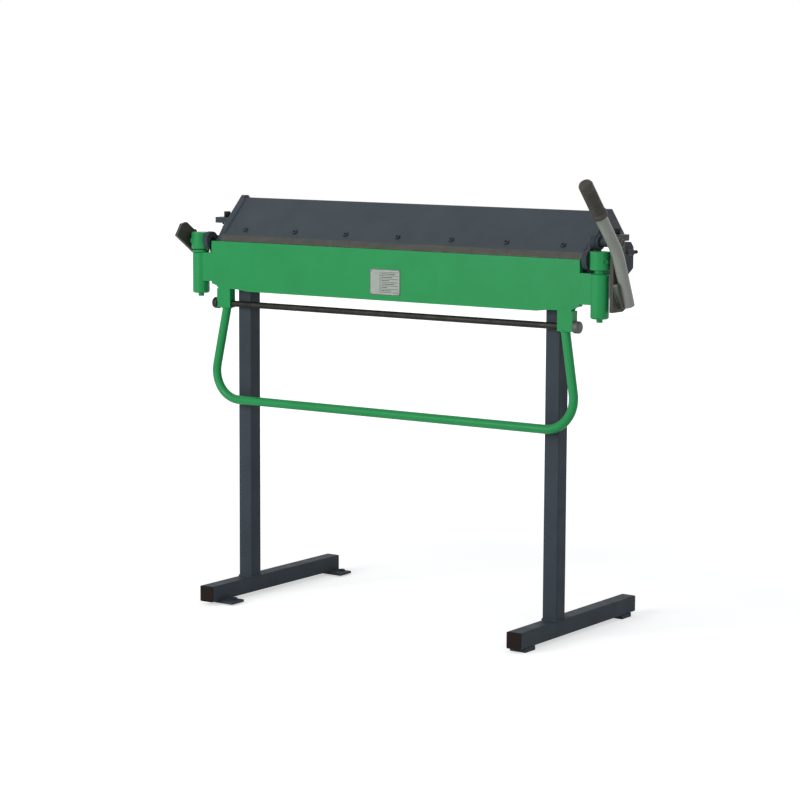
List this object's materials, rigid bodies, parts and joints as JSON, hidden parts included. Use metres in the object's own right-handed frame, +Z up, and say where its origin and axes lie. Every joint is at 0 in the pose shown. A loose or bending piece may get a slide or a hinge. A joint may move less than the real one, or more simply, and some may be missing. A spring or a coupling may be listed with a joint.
{
  "type": "manual folding machine",
  "caption": "Hand-operated sheet folding machine on a two-leg stand: hanging folding leaf with U handle, sloped clamping beam and side clamping lever.",
  "frame": {"origin": "middle of the machine's outline at floor level", "axes": "+Z up, +X along the folding edge towards the clamping lever, -Y towards the operator"},
  "size_m": [1.2336, 0.5418, 1.0519],
  "materials": {
    "leaf_green": "semi-gloss green paint",
    "frame_grey": "satin dark grey paint",
    "beam_grey": "satin dark grey paint",
    "tool_steel": "ground bare tool steel",
    "blackened_steel": "blackened mill finish",
    "fasteners": "oiled black steel",
    "black_plastic": "moulded matte",
    "grey_tube": "grey coated tube",
    "plate_silver": "blank ruled plate"
  },
  "bodies": {
    "frame": {"adjusting_screws": "fasteners", "adjusting_sleeves": "frame_grey", "bed_box_beam": "frame_grey", "bed_edge_bar": "tool_steel", "bed_rear_rail": "frame_grey", "bed_table_plate": "tool_steel", "column_heads": "frame_grey", "column_left": "frame_grey", "column_right": "frame_grey", "foot_lugs_left": "frame_grey", "foot_pads_right": "frame_grey", "hinge_pins": "fasteners", "levelling_bolts_left": "fasteners", "runner_caps_left": "black_plastic", "runner_caps_right": "black_plastic", "runner_left": "frame_grey", "runner_right": "frame_grey", "side_plate_left": "frame_grey", "side_plate_right": "frame_grey", "spring_seats": "frame_grey", "stop_bar_left": "blackened_steel"},
    "folding_leaf": {"leaf_plate": "leaf_green", "leaf_web_left": "leaf_green", "leaf_web_right": "leaf_green", "leaf_housing_left": "leaf_green", "leaf_housing_right": "leaf_green", "leaf_eye_left": "leaf_green", "leaf_eye_right": "leaf_green", "leaf_arm_left": "leaf_green", "leaf_arm_right": "leaf_green", "leaf_handle": "leaf_green", "cross_rod": "blackened_steel", "data_plate": "plate_silver"},
    "clamping_beam": {"beam_front_plate": "beam_grey", "beam_end_left": "beam_grey", "beam_end_right": "beam_grey", "beam_back_plate": "beam_grey", "lift_lugs": "beam_grey", "clamping_strip": "tool_steel", "lift_bolts": "fasteners", "lift_springs": "fasteners"},
    "clamp_lever": {"lever_shaft": "fasteners", "lever_plate": "blackened_steel", "lever_tube": "grey_tube", "lever_shoe": "grey_tube", "lever_grip": "black_plastic"}
  },
  "joints": [
    {"name": "leaf_fold", "type": "hinge", "parent": "frame", "child": "folding_leaf", "pos_m": [-0.01625, -0.10407, 0.8695], "axis": [-1, 0, 0], "range_deg": [0, 110]},
    {"name": "clamp_lever_turn", "type": "hinge", "parent": "frame", "child": "clamp_lever", "pos_m": [-0.01625, -0.07507, 0.9075], "axis": [-1, 0, 0], "range_deg": [0, 55]},
    {"name": "beam_lift", "type": "slide", "parent": "frame", "child": "clamping_beam", "axis": [0, 0, 1], "range_m": [0, 0.005], "deforming": ["lift_springs"]}
  ],
  "couplings": [
    {"joint": "beam_lift", "follows": "clamp_lever_turn", "m_per_rad": 0.0052}
  ]
}
